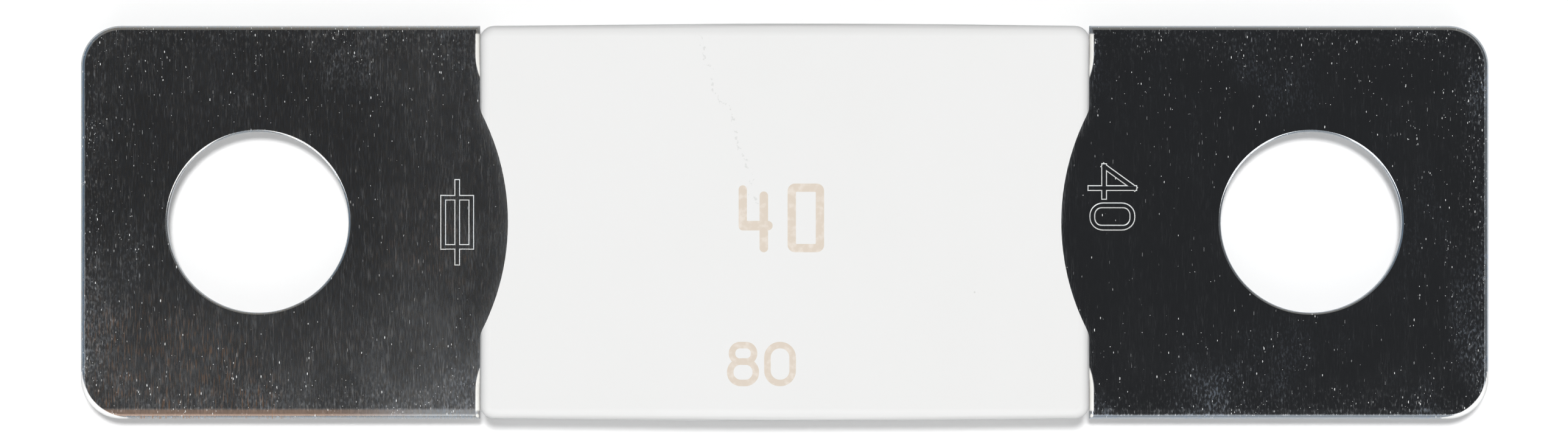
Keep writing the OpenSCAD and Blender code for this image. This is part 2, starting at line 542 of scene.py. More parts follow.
@dataclass(frozen=True)
class TinPlate:
    """Bright tin plate over rolled copper: fine grain across the strip, copper tints and nicks."""

    effects: Effects
    lie: PlateMap = PlateMap()
    dull: PlateDullness = PlateDullness()
    tin: tuple = (0.68, 0.69, 0.70)
    warm: tuple = (0.72, 0.64, 0.55)
    copper: tuple = (0.62, 0.40, 0.28)
    blue: tuple = (0.50, 0.58, 0.70)
    # bright colours the real specks and scratches, and the painted highlights on the stamp walls.
    bright: tuple = (0.86, 0.87, 0.86)
    # rubbed is the near white of the painted highlights on the front corners.
    rubbed: tuple = (0.97, 0.97, 0.96)
    # cement is the pale colour of the painted reflection on the shoulder rolls and of the painted
    # highlights at their front corners.
    cement: tuple = (0.87, 0.86, 0.82)
    fine_grain: Cloud = Cloud((19000, 1500, 900), 3.0, 0.38, 0.72)
    broad_grain: Cloud = Cloud((4200, 300, 400), 5.0, 0.38, 0.7)
    warm_grain: Cloud = Cloud((15000, 2200, 900), 2.0, 0.42, 0.62)
    streaks: Cloud = Cloud((13000, 1300, 900), 4.0, 0.52, 0.66)
    streak_patches: Cloud = Cloud(130.0, 2.0, 0.50, 0.66)
    haze_clouds: Cloud = Cloud((260, 170, 200), 7.0, 0.42, 0.74, 0.5)
    haze_crumbs: Cloud = Cloud((9500, 4200, 3000), 4.0, 0.44, 0.66, 0.15)
    rubs: Cloud = Cloud((8000, 3600, 900), 6.0, 0.48, 0.76)
    dull_clouds: Cloud = Cloud(330.0, 5.0, 0.45, 0.72)
    mark_patches: Cloud = Cloud(620.0, 3.0, 0.48, 0.62)
    dots: Spots = Spots(11000.0, 0.24)
    nicks: Spots = Spots((12000, 4200, 5000), 0.27, 0.3)
    scars: Spots = Spots((12000, 1700, 4000), 0.17, -0.4)
    hairs: Spots = Spots((9000, 900, 4000), 0.07, 0.9)

    def split(self, desk: Desk, place: object) -> list:
        """Returns how far a place lies along, across and up."""
        return list(desk.add("SeparateXYZ", {0: place}).outputs)

    def folded(self, desk: Desk, place: object) -> tuple:
        """Splits a place as if both tabs and both sides lay on each other.

        Args:
            desk: The material's desk.
            place: The object coordinates.

        Returns:
            Its distances from the middle along and across, and its height.
        """
        along, across, height = self.split(desk, place)
        return desk.math("ABSOLUTE", along), desk.math("ABSOLUTE", across), height

    def nearness(self, desk: Desk, place: object, reach: float) -> bpy.types.NodeSocket:
        """Builds a mask that rises towards the outer edges of the tabs.

        Args:
            desk: The material's desk.
            place: The object coordinates.
            reach: How far in from the edges it starts.

        Returns:
            A value from 0 in the open to 1 at an edge.
        """
        along, across, _ = self.folded(desk, place)
        side, end, roll = self.lie.side_y, self.lie.end_x, self.lie.roll_w
        return desk.most(desk.ramp(across, side - reach, side - roll),
                         desk.ramp(along, end - reach, end - roll))

    def painted_shoulder_sheen(self, desk: Desk, place: object) -> bpy.types.NodeSocket:
        """Builds a mask of the painted reflection of the white shells on the rolled edge of each
        shoulder.

        Args:
            desk: The material's desk.
            place: The object coordinates.

        Returns:
            A value that is 1 in the middle of the painted reflection and of the painted highlight
            at each front corner.
        """
        lie = self.lie
        along, across, height = self.folded(desk, place)
        shoulder_sheen = desk.times(desk.ramp(height, *(lie.top_z + z for z in lie.sheen_z)),
                          desk.ramp(across, *lie.sheen_root),
                          desk.ramp(along, *(lie.shoulder_x + x for x in lie.sheen_x)),
                          desk.ramp(across, *lie.sheen_tip))
        corner = desk.add("CombineXYZ", {0: along, 1: self.split(desk, place)[1], 2: height})
        shoulder_glint = desk.add("VectorMath", {0: corner.outputs[0], 1: (*lie.shoulder_glint, lie.top_z)},
                        operation="DISTANCE")
        return desk.most(shoulder_sheen, desk.ramp(shoulder_glint.outputs["Value"], *lie.shoulder_glint_r))

    def painted_stamp_glints(self, desk: Desk, place: object) -> bpy.types.NodeSocket:
        """Builds a mask of the walls of the stamped strokes, which carry a painted highlight.

        Args:
            desk: The material's desk.
            place: The object coordinates.

        Returns:
            A value that is 1 on a wall and 0 on the strokes' floors.
        """
        along, across, height = self.folded(desk, place)
        floor, rim = (self.lie.top_z + z for z in self.lie.stamp_z)
        return desk.times(desk.math("LESS_THAN", height, rim),
                          desk.math("GREATER_THAN", height, floor),
                          desk.math("LESS_THAN", along, self.lie.stamp_x),
                          desk.math("LESS_THAN", across, self.lie.stamp_y))

    def bare_copper(self, desk: Desk, place: object) -> bpy.types.NodeSocket:
        """Builds a mask of the fine streaks where the copper shows through the tin.

        Args:
            desk: The material's desk.
            place: The object coordinates.

        Returns:
            A value from 0 on whole plate to 1 in the middle of a streak.
        """
        front = desk.ramp(self.split(desk, place)[1], *self.lie.streak_y, 0.15, 1.0)
        return desk.times(self.effects.cloud(desk, place, self.streaks),
                          self.effects.cloud(desk, place, self.streak_patches), front)

    def rim_tint(self, desk: Desk, place: object) -> bpy.types.NodeSocket:
        """Builds a mask of the copper that shows along the inner side of the front roll.

        Args:
            desk: The material's desk.
            place: The object coordinates.

        Returns:
            A value that is 1 where the plate is thinnest.
        """
        along, across, _ = self.split(desk, place)
        return desk.times(desk.ramp(across, *self.lie.tint_inner),
                          desk.ramp(across, *self.lie.tint_outer),
                          desk.ramp(along, *self.lie.tint_start),
                          desk.ramp(along, *self.lie.tint_end))

    def marks(self, desk: Desk, place: object) -> bpy.types.NodeSocket:
        """Builds specks and short scratches, which gather in patches near the edges.

        Args:
            desk: The material's desk.
            place: The object coordinates.

        Returns:
            A value from 0 on clean plate to 1 in the brightest mark.
        """
        near = desk.most(self.nearness(desk, place, self.lie.nick_reach),
                         desk.times(self.nearness(desk, place, self.lie.haze_reach), 0.35))
        patches = self.effects.cloud(desk, place, self.mark_patches)
        crowd = desk.times(near, desk.plus(desk.times(patches, 0.85), 0.15))

        def spread(kind: Spots, crowded: float, alone: float) -> bpy.types.NodeSocket:
            """Scatters one kind of mark, with more of it where marks crowd."""
            amount = desk.plus(desk.times(crowd, crowded), alone)
            return self.effects.scatter(desk, place, kind, amount)

        dots = spread(self.dots, 0.14, 0.003)
        nicks = spread(self.nicks, 0.36, 0.009)
        scars = spread(self.scars, 0.30, 0.050)
        hairs = self.effects.scatter(desk, place, self.hairs, 0.2)
        faint = desk.most(desk.times(scars, 0.5), desk.times(hairs, 0.3))
        return desk.math("MAXIMUM", dots, desk.most(nicks, faint), True)

    def haze(self, desk: Desk, place: object) -> bpy.types.NodeSocket:
        """Builds a mask of the thin, finely broken haze that gathers towards the edges.

        Args:
            desk: The material's desk.
            place: The object coordinates.

        Returns:
            A value from 0 on clean plate to 1 in the thickest haze.
        """
        cloud = self.effects.cloud(desk, place, self.haze_clouds)
        crumbs = self.effects.cloud(desk, place, self.haze_crumbs)
        outer = self.nearness(desk, place, self.lie.haze_reach)
        return desk.times(cloud, desk.ramp(outer, 0.0, 1.0, 0.2, 1.0),
                          desk.ramp(crumbs, 0.0, 1.0, 0.15, 1.0))

    def painted_corner_glints(self, desk: Desk, place: object) -> bpy.types.NodeSocket:
        """Builds a mask of the crescents of painted highlight on both front corners.

        Args:
            desk: The material's desk.
            place: The object coordinates.

        Returns:
            A value that is 1 on a crescent.
        """
        along, _, _ = self.folded(desk, place)
        across = self.split(desk, place)[1]
        plan = desk.add("CombineXYZ", {0: along, 1: across})
        reach = desk.add("VectorMath", {0: plan.outputs[0], 1: self.lie.corner},
                         operation="DISTANCE")
        return desk.times(desk.ramp(along, *self.lie.corner_x),
                          desk.ramp(across, *self.lie.corner_y),
                          desk.ramp(reach.outputs["Value"], *self.lie.corner_r))

    def tone(self, desk: Desk, place: object, leftness: object) -> bpy.types.NodeSocket:
        """Builds the plate's colour: tin with fine warm grain, copper streaks and blue haze.

        Args:
            desk: The material's desk.
            place: The object coordinates.
            leftness: 1 on the left tab and 0 on the right one.

        Returns:
            The colour's socket.
        """
        fine = self.effects.cloud(desk, place, self.warm_grain)
        colour = desk.blend(desk.times(fine, desk.times(leftness, 0.5)), self.tin, self.warm)
        cool = desk.times(self.haze(desk, place), desk.ramp(leftness, 0.0, 1.0, 0.9, 0.3))
        colour = desk.blend(cool, colour, self.blue)
        worn = desk.most(desk.times(self.bare_copper(desk, place), leftness),
                         desk.times(self.rim_tint(desk, place), 0.8))
        return desk.blend(worn, colour, self.copper)

    def roughness(self, desk: Desk, place: object, leftness: object, grain: object,
                  marks: object) -> bpy.types.NodeSocket:
        """Builds the plate's roughness: rolling grain, rubbed edges and marks.

        Args:
            desk: The material's desk.
            place: The object coordinates.
            leftness: 1 on the left tab and 0 on the right one.
            grain: The rolling grain.
            marks: Specks and scratches.

        Returns:
            The roughness.
        """
        lie, dull = self.lie, self.dull
        along, across, height = self.split(desk, place)
        flat = desk.ramp(height, *(lie.top_z + z for z in lie.flat_z), 0.25, 1.0)
        rubbed = desk.times(self.effects.cloud(desk, place, self.rubs),
                            self.nearness(desk, place, lie.rub_reach))
        lower = desk.times(flat, leftness, desk.ramp(across, *lie.lower_y))
        front_rim = desk.times(desk.ramp(across, *lie.rim_inner),
                               desk.ramp(across, *lie.rim_outer))
        inner = desk.ramp(desk.math("ABSOLUTE", along), *lie.inner_x, 0.0, dull.inner)

        def by_side(pair: tuple) -> bpy.types.NodeSocket:
            """Goes from the right tab's share to the left one's."""
            return desk.ramp(leftness, 0.0, 1.0, *pair)

        rough = desk.plus(
            desk.times(grain, by_side(dull.grain)), dull.clean,
            desk.times(leftness, dull.left),
            desk.ramp(across, *lie.front_y, 0.0, dull.front),
            desk.times(self.haze(desk, place), flat, by_side(dull.haze)),
            desk.times(leftness, inner),
            desk.times(rubbed, flat, by_side(dull.rubs)),
            desk.times(self.effects.cloud(desk, place, self.dull_clouds), dull.clouds),
            desk.times(lower, dull.lower),
            desk.times(front_rim, by_side(dull.rim)),
            desk.times(self.bare_copper(desk, place), leftness, dull.copper))
        return desk.math("ADD", rough, desk.times(marks, dull.marks), True)

    def make(self) -> bpy.types.Material:
        """Builds the material.

        Returns:
            The material.
        """
        material, desk, shader, place = new_finish("tin_plate", {"IOR": 1.5})
        leftness = desk.ramp(self.split(desk, place)[0], *self.lie.left_tab)
        fine = self.effects.cloud(desk, place, self.fine_grain)
        broad = self.effects.cloud(desk, place, self.broad_grain)
        grain = desk.times(fine, desk.ramp(broad, 0.0, 1.0, 0.4, 1.0))
        marks = self.marks(desk, place)
        shoulder_sheen = self.painted_shoulder_sheen(desk, place)
        # walls marks the stamp walls, where a highlight is painted on.
        walls = self.painted_stamp_glints(desk, place)
        # corners marks the crescents of painted highlight on the front corners.
        corners = self.painted_corner_glints(desk, place)
        rough = desk.most(self.roughness(desk, place, leftness, grain, marks),
                          desk.times(shoulder_sheen, self.dull.shoulder_sheen),
                          desk.times(desk.most(walls, corners), self.dull.painted_glints))
        # Real marks lose some metal, and so do the painted highlights on the stamp walls and front
        # corners.
        marks_and_glints = desk.most(desk.times(marks, 0.6), desk.times(walls, 0.75),
                              desk.times(corners, 0.95))
        # Specks and scratches are real wear; on the stamp walls the same bright colour is a
        # painted highlight.
        colour = desk.blend(desk.most(marks, walls), self.tone(desk, place, leftness),
                            self.bright)
        # Painted highlight: the front corners' crescents are painted near white.
        colour = desk.blend(corners, colour, self.rubbed)
        height = desk.plus(desk.times(grain, 0.5), marks)
        bump = desk.add("Bump", {"Strength": 0.2, "Distance": 0.00001, "Height": height})
        links = desk.tree.links
        links.new(rough, shader.inputs["Roughness"])
        # Painted reflection and highlight: the shoulder rolls and their front corners are painted
        # pale and not metallic.
        links.new(desk.math("SUBTRACT", 1.0, desk.most(shoulder_sheen, marks_and_glints)),
                  shader.inputs["Metallic"])
        links.new(desk.blend(shoulder_sheen, colour, self.cement), shader.inputs["Base Color"])
        links.new(bump.outputs[0], shader.inputs["Normal"])
        return material


@dataclass(frozen=True)
class Ceramic:
    """Pressed and fired white ceramic with a fine satin skin, dark specks and metal rubs."""

    effects: Effects
    white: tuple = (0.79, 0.79, 0.785)
    warm: tuple = (0.768, 0.768, 0.76)
    grey: tuple = (0.42, 0.43, 0.41)
    clouds: Cloud = Cloud(90.0, 5.0, 0.35, 0.7)
    dots: Spots = Spots(1300.0, 0.07)
    rubs: Spots = Spots((900, 260, 500), 0.10, 0.6)
    rub_crumbs: Cloud = Cloud(3600.0, 2.0, 0.5, 0.62)
    track_crumbs: Cloud = Cloud(5200.0, 2.0, 0.52, 0.60)
    track_slope: float = -0.38
    track_x: float = -0.0009
    track_swing: float = 0.0022
    track_w: tuple = (0.00016, 0.00004)
    track_start: tuple = (0.0002, 0.0012)
    track_end: tuple = (0.0108, 0.0102)

    def track(self, desk: Desk, place: object) -> bpy.types.NodeSocket:
        """Builds the broken track that a metal edge has left from the rear side to the middle.

        Args:
            desk: The material's desk.
            place: The object coordinates.

        Returns:
            A value that is 1 on the track's crumbs.
        """
        wander = desk.add("TexNoise", {"Vector": place, "Scale": 900.0, "Detail": 2.0})
        parts = desk.add("SeparateXYZ", {0: place})
        swing = desk.times(desk.math("SUBTRACT", wander.outputs[0], 0.5), self.track_swing)
        line = desk.plus(desk.times(parts.outputs[1], self.track_slope), self.track_x)
        off = desk.math("ABSOLUTE", desk.math("SUBTRACT", parts.outputs[0],
                                              desk.plus(line, swing)))
        return desk.times(desk.ramp(off, *self.track_w),
                          self.effects.cloud(desk, place, self.track_crumbs),
                          desk.ramp(parts.outputs[1], *self.track_start),
                          desk.ramp(parts.outputs[1], *self.track_end))

    def make(self) -> bpy.types.Material:
        """Builds the material.

        Returns:
            The material.
        """
        material, desk, shader, place = new_finish("white_ceramic", {
            "Specular IOR Level": 0.5, "IOR": 1.56})
        cloud = self.effects.cloud(desk, place, self.clouds)
        tooth = desk.add("TexNoise", {"Vector": place, "Scale": 9000.0, "Detail": 3.0})
        dots = self.effects.scatter(desk, place, self.dots, 0.02)
        rubs = desk.times(self.effects.scatter(desk, place, self.rubs, 0.04),
                          self.effects.cloud(desk, place, self.rub_crumbs))
        dirt = desk.most(desk.times(dots, 0.7), desk.times(rubs, 0.4),
                         desk.times(self.track(desk, place), 0.3))
        colour = desk.blend(desk.times(cloud, 0.6), self.white, self.warm)
        bump = desk.add("Bump", {"Strength": 0.12, "Distance": 0.00002,
                                 "Height": tooth.outputs[0]})
        links = desk.tree.links
        links.new(desk.blend(dirt, colour, self.grey), shader.inputs["Base Color"])
        links.new(desk.plus(desk.times(cloud, 0.1), 0.42), shader.inputs["Roughness"])
        links.new(bump.outputs[0], shader.inputs["Normal"])
        return material


@dataclass(frozen=True)
class RatingInk:
    """Pale beige ink, thin and a little patchy."""

    effects: Effects
    beige: tuple = (0.67, 0.59, 0.505)
    thin: tuple = (0.74, 0.675, 0.605)
    patches: Cloud = Cloud(2600.0, 4.0, 0.45, 0.7)

    def make(self) -> bpy.types.Material:
        """Builds the material.

        Returns:
            The material.
        """
        material, desk, shader, place = new_finish("rating_ink", {"Specular IOR Level": 0.4})
        patch = self.effects.cloud(desk, place, self.patches)
        links = desk.tree.links
        links.new(desk.blend(patch, self.beige, self.thin), shader.inputs["Base Color"])
        links.new(desk.plus(desk.times(patch, 0.15), 0.5), shader.inputs["Roughness"])
        return material


@dataclass(frozen=True)
class Cement:
    """Grey-white bonding cement with sand grains and pores."""

    effects: Effects
    pale: tuple = (0.62, 0.61, 0.58)
    dark: tuple = (0.46, 0.45, 0.42)
    # The pores are painted darker: painted shade in the pits.
    pore_shade: tuple = (0.3, 0.29, 0.27)
    sand: Cloud = Cloud(5200.0, 5.0, 0.35, 0.7)
    pores: Spots = Spots(3000.0, 0.25)

    def make(self) -> bpy.types.Material:
        """Builds the material.

        Returns:
            The material.
        """
        material, desk, shader, place = new_finish("cement", {"Specular IOR Level": 0.25})
        sand = self.effects.cloud(desk, place, self.sand)
        pores = self.effects.scatter(desk, place, self.pores, 0.2)
        bump = desk.add("Bump", {"Strength": 0.5, "Distance": 0.00004,
                                 "Height": desk.math("SUBTRACT", sand, pores)})
        links = desk.tree.links
        # Painted shade darkens the pores.
        links.new(desk.blend(pores, desk.blend(sand, self.pale, self.dark), self.pore_shade),
                  shader.inputs["Base Color"])
        links.new(desk.plus(desk.times(sand, 0.1), 0.85), shader.inputs["Roughness"])
        links.new(bump.outputs[0], shader.inputs["Normal"])
        return material


@dataclass(frozen=True)
class SolderTin:
    """Tin that has flowed and set, bright with a slight ripple."""

    effects: Effects
    bright: tuple = (0.78, 0.78, 0.77)
    dull: tuple = (0.62, 0.63, 0.65)
    ripples: Cloud = Cloud(3200.0, 2.0, 0.3, 0.75)

    def make(self) -> bpy.types.Material:
        """Builds the material.

        Returns:
            The material.
        """
        material, desk, shader, place = new_finish("solder_tin", {"Metallic": 1.0})
        ripple = self.effects.cloud(desk, place, self.ripples)
        bump = desk.add("Bump", {"Strength": 0.3, "Distance": 0.00002, "Height": ripple})
        links = desk.tree.links
        links.new(desk.blend(ripple, self.bright, self.dull), shader.inputs["Base Color"])
        links.new(desk.plus(desk.times(ripple, 0.2), 0.2), shader.inputs["Roughness"])
        links.new(bump.outputs[0], shader.inputs["Normal"])
        return material


@dataclass
class FuseStrip:
    """The stamped strip: tabs with rolled edges, bolt holes, skived middle, link and stamps."""

    tab_w: float = 22.4
    low_z: float = 3.4
    high_z: float = 4.6
    end_x: float = 40.1
    corner_r: float = 2.3
    shoulder_x: float = 17.36
    neck_w: float = 16.3
    roll_r: float = 0.3
    runout_r: float = 3.75
    hole_x: float = 30.0
    hole_d: float = 10.3
    hole_roll_r: float = 0.16
    ramp: tuple = (9.1, 8.5)
    web_end: float = 6.0
    web_t: float = 0.3
    link_w: float = 1.2
    arch_r: float = 2.6
    bend_r: float = 1.4
    skin: float = 0.5
    stamp_depth: float = 0.05
    stamp_slope: float = 1.3
    stroke: float = 0.33
    stroke_step: float = 0.002
    stamped_four: tuple = (
        ((17.42, 1.95), (19.92, 1.95)), ((18.2, 3.2), (18.2, 1.45)), ((18.2, 3.2), (19.92, 1.95)))
    stamped_sign: tuple = (
        ((-19.45, -1.4), (-19.45, 1.4)), ((-18.65, -2.3), (-18.65, 2.3)),
        ((-17.85, -1.4), (-17.85, 1.4)), ((-19.45, 1.4), (-17.85, 1.4)),
        ((-19.45, -1.4), (-17.85, -1.4)))
    nought_middle: tuple = (18.67, 0.33)
    nought_size: tuple = (2.74, 1.73)
    nought_r: float = 0.8
    runout_over: float = 6.0
    roll_steps: int = 8
    corner_steps: int = 20
    bend_steps: int = 12
    arch_steps: int = 20
    runout_steps: int = 10
    hole_steps: int = 144

    @property
    def mid_z(self) -> float:
        """Height of the strip's middle plane."""
        return (self.low_z + self.high_z) / 2

    @property
    def wide_stroke(self) -> float:
        """Width of a punched stroke at the top of its punch, which stays above the metal."""
        return self.stroke + 2 * self.stamp_slope * self.stamp_depth

    def end_face(self, bm: BMesh, x: float, half_w: float) -> BMFace:
        """Finds the face that closes the strip towards the middle.

        Args:
            bm: The mesh.
            x: Where the face lies.
            half_w: It lies within this distance of the centre line.

        Returns:
            The face.
        """
        found = [f for f in bm.faces if abs(f.calc_center_median().x - x) < 1e-4
                 and f.normal.x < -0.9 and abs(f.calc_center_median().y) < half_w]
        return max(found, key=lambda f: f.calc_area())

    def pull(self, bm: BMesh, face: BMFace, x: float, thin: float = 1.0) -> BMFace:
        """Draws an end face on towards the middle.

        Args:
            bm: The mesh.
            face: The face to draw.
            x: Where it ends up.
            thin: Its new thickness as a share of the old one.

        Returns:
            The face in its new place.
        """
        made = bmesh.ops.extrude_face_region(bm, geom=[face])["geom"]
        verts = [g for g in made if isinstance(g, bmesh.types.BMVert)]
        for vert in verts:
            vert.co.x = x
            vert.co.z = self.mid_z + (vert.co.z - self.mid_z) * thin
        return next(g for g in made if isinstance(g, BMFace))

    def turn(self, bm: BMesh, face: BMFace, centre: tuple, angle: float, steps: int) -> BMFace:
        """Sweeps an end face round a bend of the link.

        Args:
            bm: The mesh.
            face: The face to sweep.
            centre: The bend's centre.
            angle: The angle in degrees.
            steps: Facets along the bend.

        Returns:
            The face at the end of the bend.
        """
        made = bmesh.ops.spin(bm, geom=[face], cent=centre, axis=(0, 0, 1),
                              angle=math.radians(angle), steps=steps, use_duplicate=False)
        return next(g for g in made["geom_last"] if isinstance(g, BMFace))

    def blank(self) -> BMesh:
        """Makes half of the strip without its hole, with rolled edges and the link.

        Returns:
            The mesh, closed on the plane x = 0.
        """
        length = self.end_x - self.shoulder_x
        bm = plate(((self.end_x + self.shoulder_x) / 2, 0, self.mid_z),
                   (length, self.tab_w, self.high_z - self.low_z))
        corners = [e for e in upright_edges(bm) if e.verts[0].co.x > self.end_x - 0.01]
        round_edges(bm, corners, self.corner_r, self.corner_steps)
        rims = [e for e in bm.edges if all(abs(v.co.z - self.high_z) < 1e-4 for v in e.verts)
                and any(v.co.x > self.shoulder_x + 0.01 for v in e.verts)]
        round_edges(bm, rims, self.roll_r, self.roll_steps)
        for side in (-1, 1):
            bmesh.ops.bisect_plane(bm, geom=whole(bm), plane_co=(0, side * self.neck_w / 2, 0),
                                   plane_no=(0, 1, 0), dist=1e-6)
        bmesh.ops.recalc_face_normals(bm, faces=bm.faces)
        face = self.pull(bm, self.end_face(bm, self.shoulder_x, self.neck_w / 2), self.ramp[0])
        face = self.pull(bm, face, self.ramp[1], self.web_t / (self.high_z - self.low_z))
        face = self.pull(bm, face, self.web_end)
        lead_y = (self.arch_r + self.bend_r) / 2
        for y in (-lead_y - self.link_w / 2, -lead_y + self.link_w / 2):
            near = [f for f in bm.faces if abs(f.calc_center_median().x - self.web_end) < 1e-4]
            geom = dict.fromkeys(g for f in near for g in [f, *f.edges, *f.verts])
            bmesh.ops.bisect_plane(bm, geom=list(geom), plane_co=(0, y, 0), plane_no=(0, 1, 0),
                                   dist=1e-6)
        face = min((f for f in bm.faces if abs(f.calc_center_median().x - self.web_end) < 1e-4),
                   key=lambda f: abs(f.calc_center_median().y + lead_y))
        bend_x = self.arch_r + self.bend_r
        arch_y = self.bend_r - lead_y
        face = self.pull(bm, face, bend_x)
        face = self.turn(bm, face, (bend_x, arch_y, self.mid_z), -90, self.bend_steps)
        face = self.turn(bm, face, (0, arch_y, self.mid_z), 90, self.arch_steps)
        clear_inside(bm)
        return bm

    def arc(self, bm: BMesh, start: tuple, centre: tuple, angle: float) -> list:
        """Draws a quarter of a roll as a chain of edges in an upright plane along X.

        Args:
            bm: The mesh to draw in.
            start: The arc's first point.
            centre: Its centre.
            angle: The angle in degrees about Y.

        Returns:
            Its vertices in order.
        """
        first = bm.verts.new(start)
        bmesh.ops.spin(bm, geom=[first], cent=centre, axis=(0, 1, 0),
                       angle=math.radians(angle), steps=self.roll_steps, use_duplicate=False)
        order = [first]
        while True:
            onward = [e.other_vert(order[-1]) for e in order[-1].link_edges
                      if e.other_vert(order[-1]) not in order]
            if not onward:
                return order
            order.append(onward[0])

    def hole_tool(self) -> BMesh:
        """Makes the tool that cuts a bolt hole with its rolled rim.

        Returns:
            The tool, turned about the hole's axis.
        """
        bm = bmesh.new()
        radius = self.hole_d / 2
        low, high = self.low_z - self.skin, self.high_z + self.skin
        roll, shoulder_z = self.hole_roll_r, self.high_z - self.hole_roll_r
        rim = self.arc(bm, (self.hole_x + radius, 0, shoulder_z),
                       (self.hole_x + radius + roll, 0, shoulder_z), 90)
        foot = bm.verts.new((self.hole_x + radius, 0, low))
        base = bm.verts.new((self.hole_x, 0, low))
        lip = bm.verts.new((self.hole_x + radius + roll, 0, high))
        top = bm.verts.new((self.hole_x, 0, high))
        bm.edges.new((base, foot))
        bm.edges.new((foot, rim[0]))
        bm.edges.new((rim[-1], lip))
        bm.edges.new((lip, top))
        bmesh.ops.spin(bm, geom=bm.verts[:] + bm.edges[:], cent=(self.hole_x, 0, 0),
                       axis=(0, 0, 1), angle=math.tau, steps=self.hole_steps, use_merge=True,
                       use_duplicate=False)
        bmesh.ops.remove_doubles(bm, verts=bm.verts, dist=1e-5)
        bmesh.ops.recalc_face_normals(bm, faces=bm.faces)
        return bm

    def shoulder_tool(self) -> BMesh:
        """Makes the tool that rolls a shoulder's upper edge and runs out beside the neck.

        Returns:
            The tool for the shoulder on the rear side.
        """
        bm = bmesh.new()
        leave = math.degrees(math.acos(1 - self.roll_r / self.runout_r))
        y = self.neck_w / 2 + self.runout_r * math.sin(math.radians(leave))
        z = self.high_z - self.roll_r
        rim = self.arc(bm, (self.shoulder_x, y, z), (self.shoulder_x + self.roll_r, y, z), 90)
        low = bm.verts.new((self.shoulder_x - self.skin, y, z))
        outer = bm.verts.new((self.shoulder_x - self.skin, y, self.high_z + self.skin))
        upper = bm.verts.new((self.shoulder_x + self.roll_r, y, self.high_z + self.skin))
        section = bm.faces.new([*rim, upper, outer, low])
        made = bmesh.ops.extrude_face_region(bm, geom=[section])["geom"]
        bmesh.ops.translate(bm, vec=(0, self.tab_w / 2 + self.skin - y, 0),
                            verts=[g for g in made if isinstance(g, bmesh.types.BMVert)])
        bmesh.ops.recalc_face_normals(bm, faces=bm.faces)
        near = min(bm.faces, key=lambda f: (f.calc_center_median().y, -f.calc_area()))
        self.turn(bm, near, (self.shoulder_x + self.roll_r - self.runout_r, y, z),
                  -(leave + self.runout_over), self.runout_steps)
        clear_inside(bm)
        bmesh.ops.recalc_face_normals(bm, faces=bm.faces)
        return bm

    def slope_walls(self, bm: BMesh, size: tuple, outwards: bool = False) -> None:
        """Draws the foot of a punch in, or out, by its depth.

        Args:
            bm: The punch, centred on the origin.
            size: Its length along X and Y.
            outwards: Whether the foot grows.
        """
        change = 4 * self.stamp_slope * self.stamp_depth * (1 if outwards else -1)
        foot = [v for v in bm.verts if v.co.z < 0]
        bmesh.ops.scale(bm, vec=(1 + change / size[0], 1 + change / size[1], 1), verts=foot)

    def bar_tool(self, start: tuple, end: tuple, lift: float) -> BMesh:
        """Makes the punch for one straight stroke.

        Args:
            start: Where the stroke's middle line starts, in plan.
            end: Where it ends.
            lift: How much shallower it is than the deepest stroke.

        Returns:
            The punch, narrower below.
        """
        line = Vector(end) - Vector(start)
        size = (line.length + self.wide_stroke, self.wide_stroke)
        bm = plate((0, 0, 0), (*size, 2 * self.stamp_depth))
        self.slope_walls(bm, size)
        bmesh.ops.rotate(bm, cent=(0, 0, 0), verts=bm.verts,
                         matrix=Matrix.Rotation(math.atan2(line.y, line.x), 3, "Z"))
        middle = (Vector(end) + Vector(start)) / 2
        bmesh.ops.translate(bm, vec=(*middle, self.high_z + lift), verts=bm.verts)
        return bm

    def ring_tool(self, centre: tuple, size: tuple, radius: float) -> BMesh:
        """Makes the punch for one ring-shaped stroke.

        Args:
            centre: Its middle in plan.
            size: Its outer length along X and Y.
            radius: Radius of its outer corners.

        Returns:
            The punch, narrower below.
        """
        outer = rounded_plate((0, 0, 0), (*size, 2 * self.stamp_depth), radius,
                              self.roll_steps)
        self.slope_walls(outer, size)
        inside = (size[0] - 2 * self.wide_stroke, size[1] - 2 * self.wide_stroke)
        inner = rounded_plate((0, 0, 0), (*inside, 2 * self.stamp_depth + 0.001),
                              radius - self.wide_stroke, self.roll_steps)
        self.slope_walls(inner, inside, True)
        bm = worked(outer, [inner])
        bmesh.ops.translate(bm, vec=(*centre, self.high_z), verts=bm.verts)
        return bm

    def strokes_tool(self, strokes: tuple) -> BMesh:
        """Joins straight strokes to one punch, each a little shallower than the one before."""
        bars = [self.bar_tool(*ends, self.stroke_step * turn)
                for turn, ends in enumerate(strokes)]
        return worked(bars[0], bars[1:], Cut.JOIN)

    def stamps(self) -> list:
        """Makes the punches: plain digits on one tab, a box with a line through it on the other.

        Returns:
            The punches.
        """
        return [self.strokes_tool(self.stamped_four),
                self.ring_tool(self.nought_middle, self.nought_size, self.nought_r),
                self.strokes_tool(self.stamped_sign)]

    def build(self, finish: bpy.types.Material) -> bpy.types.Object:
        """Builds the whole strip.

        Args:
            finish: The tin plate.

        Returns:
            The piece that stands for the strip's node.
        """
        rear = self.shoulder_tool()
        half = worked(self.blank(), [self.hole_tool(), mirrored(rear, (1, -1, 1)), rear])
        bmesh.ops.delete(half, geom=[f for f in half.faces if f.calc_center_median().x < 1e-4],
                         context="FACES_ONLY")
        bmesh.ops.mirror(half, geom=whole(half), matrix=Matrix.Identity(4), merge_dist=1e-4,
                         axis="X")
        bmesh.ops.recalc_face_normals(half, faces=half.faces)
        strip = worked(half, self.stamps())
        piece = finished(strip, "dressed_strip", finish)
        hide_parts("fuse_strip")
        return piece


